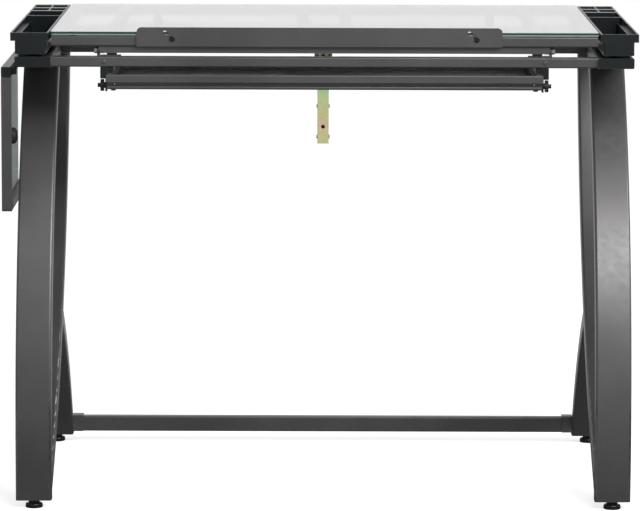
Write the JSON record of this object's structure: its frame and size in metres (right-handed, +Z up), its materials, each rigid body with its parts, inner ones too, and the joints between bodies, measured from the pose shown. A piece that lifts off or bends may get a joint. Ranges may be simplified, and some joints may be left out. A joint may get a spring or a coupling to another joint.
{
  "type": "drafting table",
  "caption": "Drafting table with a tilting glass top, pencil ledge, shallow drawer, side trays, folding side shelf and curved legs.",
  "frame": {"origin": "middle of the model's bounding box in plan, on the floor under the feet", "axes": "+X to the right of a person sitting at the table, +Y away from the sitter towards the rear feet, +Z up"},
  "size_m": [1.0648, 0.662, 0.8076],
  "materials": {
    "pewter_paint": "satin pewter powder coat",
    "black_plastic": "fine matte moulding",
    "glass": "clear tempered glass with green edges",
    "zinc_yellow": "yellow zinc plated steel",
    "zinc_bright": "bright zinc plated steel",
    "black_steel": "black oxide screws",
    "rubber": "soft matte rubber"
  },
  "bodies": {
    "frame": {"front_leg_left": "pewter_paint", "front_leg_right": "pewter_paint", "inner_leg_left": "pewter_paint", "inner_leg_right": "pewter_paint", "rear_leg_left": "pewter_paint", "rear_leg_right": "pewter_paint", "side_rail_left": "pewter_paint", "side_rail_right": "pewter_paint", "rail_end_caps": "black_plastic", "front_cross_bar": "pewter_paint", "middle_cross_bar": "pewter_paint", "rear_cross_bar": "pewter_paint", "lower_cross_bar": "pewter_paint", "lower_bar_sockets": "pewter_paint", "foot_inserts": "black_plastic", "top_hinge_brackets": "pewter_paint", "ratchet_bracket": "zinc_yellow", "rest_bumpers": "rubber", "shelf_hinge_brackets": "black_plastic", "frame_screws": "black_steel", "drawer_runner_left": "pewter_paint", "drawer_runner_right": "pewter_paint", "drawer_cross_strips": "pewter_paint", "drawer_hangers": "black_plastic"},
    "top": {"glass_top": "glass", "glass_pads": "rubber", "top_front_rail": "pewter_paint", "top_rear_rail": "pewter_paint", "top_side_rail_left": "pewter_paint", "top_side_rail_right": "pewter_paint", "outer_support_bars": "pewter_paint", "centre_support_bars": "pewter_paint", "hinge_channel": "pewter_paint", "hinge_bolts": "zinc_bright", "ratchet_top_plate": "pewter_paint", "ratchet_pin": "zinc_bright", "ledge_screws": "black_steel"},
    "ledge": {"ledge": "pewter_paint"},
    "ratchet_support": {"ratchet_channel": "zinc_yellow", "ratchet_rivets": "black_steel", "ratchet_pawl": "zinc_bright"},
    "rack": {"ratchet_rack": "zinc_yellow"},
    "drawer": {"drawer_tray": "pewter_paint", "drawer_front": "pewter_paint"},
    "side_shelf": {"shelf_bumper": "rubber", "shelf_frame": "pewter_paint", "shelf_top_bar": "pewter_paint", "shelf_hinge_blocks": "black_plastic", "shelf_glass": "glass", "shelf_pivot_pins": "zinc_bright"},
    "knob_left": {"hanger_knob_left": "black_plastic"},
    "knob_right": {"hanger_knob_right": "black_plastic"},
    "front_tray_left": {"front_tray_left": "black_plastic"},
    "front_foot_left": {"front_foot_left": "black_plastic"},
    "rear_tray_left": {"rear_tray_left": "black_plastic"},
    "rear_foot_left": {"rear_foot_left": "black_plastic"},
    "front_tray_right": {"front_tray_right": "black_plastic"},
    "front_foot_right": {"front_foot_right": "black_plastic"},
    "rear_tray_right": {"rear_tray_right": "black_plastic"},
    "rear_foot_right": {"rear_foot_right": "black_plastic"}
  },
  "joints": [
    {"name": "top_tilt", "type": "hinge", "parent": "frame", "child": "top", "pos_m": [0.00915, -0.267, 0.768], "axis": [1, 0, 0], "range_deg": [0, 25]},
    {"name": "ratchet_pivot", "type": "hinge", "parent": "frame", "child": "ratchet_support", "pos_m": [0.00765, 0.035, 0.733], "axis": [1, 0, 0], "range_deg": [0, 10.5]},
    {"name": "rack_slide", "type": "slide", "parent": "ratchet_support", "child": "rack", "axis": [0, 0, 1], "range_m": [0, 0.132]},
    {"name": "ledge_slide", "type": "slide", "parent": "top", "child": "ledge", "axis": [0.7563, 0, -0.6542], "range_m": [0, 0.01666]},
    {"name": "drawer_slide", "type": "slide", "parent": "frame", "child": "drawer", "axis": [0, -1, 0], "range_m": [0, 0.18]},
    {"name": "shelf_fold", "type": "hinge", "parent": "frame", "child": "side_shelf", "pos_m": [-0.5241, -0.103, 0.729], "axis": [0, 1, 0], "range_deg": [0, 90]},
    {"name": "front_tray_lift_left", "type": "slide", "parent": "frame", "child": "front_tray_left", "axis": [0, 0, 1], "range_m": [0, 0.06]},
    {"name": "front_foot_spin_left", "type": "hinge", "parent": "frame", "child": "front_foot_left", "pos_m": [-0.47735, -0.314, 0], "axis": [0, 0, 1], "continuous": true},
    {"name": "rear_tray_lift_left", "type": "slide", "parent": "frame", "child": "rear_tray_left", "axis": [0, 0, 1], "range_m": [0, 0.06]},
    {"name": "rear_foot_spin_left", "type": "hinge", "parent": "frame", "child": "rear_foot_left", "pos_m": [-0.47735, 0.299, 0], "axis": [0, 0, 1], "continuous": true},
    {"name": "knob_spin_left", "type": "hinge", "parent": "frame", "child": "knob_left", "pos_m": [-0.36085, -0.267, 0.709], "axis": [1, 0, 0], "continuous": true},
    {"name": "front_tray_lift_right", "type": "slide", "parent": "frame", "child": "front_tray_right", "axis": [0, 0, 1], "range_m": [0, 0.06]},
    {"name": "front_foot_spin_right", "type": "hinge", "parent": "frame", "child": "front_foot_right", "pos_m": [0.49565, -0.314, 0], "axis": [0, 0, 1], "continuous": true},
    {"name": "rear_tray_lift_right", "type": "slide", "parent": "frame", "child": "rear_tray_right", "axis": [0, 0, 1], "range_m": [0, 0.06]},
    {"name": "rear_foot_spin_right", "type": "hinge", "parent": "frame", "child": "rear_foot_right", "pos_m": [0.49565, 0.299, 0], "axis": [0, 0, 1], "continuous": true},
    {"name": "knob_spin_right", "type": "hinge", "parent": "frame", "child": "knob_right", "pos_m": [0.37915, -0.267, 0.709], "axis": [1, 0, 0], "continuous": true}
  ],
  "couplings": [
    {"joint": "ratchet_pivot", "follows": "top_tilt", "ratio": 0.396},
    {"joint": "rack_slide", "follows": "top_tilt", "m_per_rad": 0.299}
  ]
}
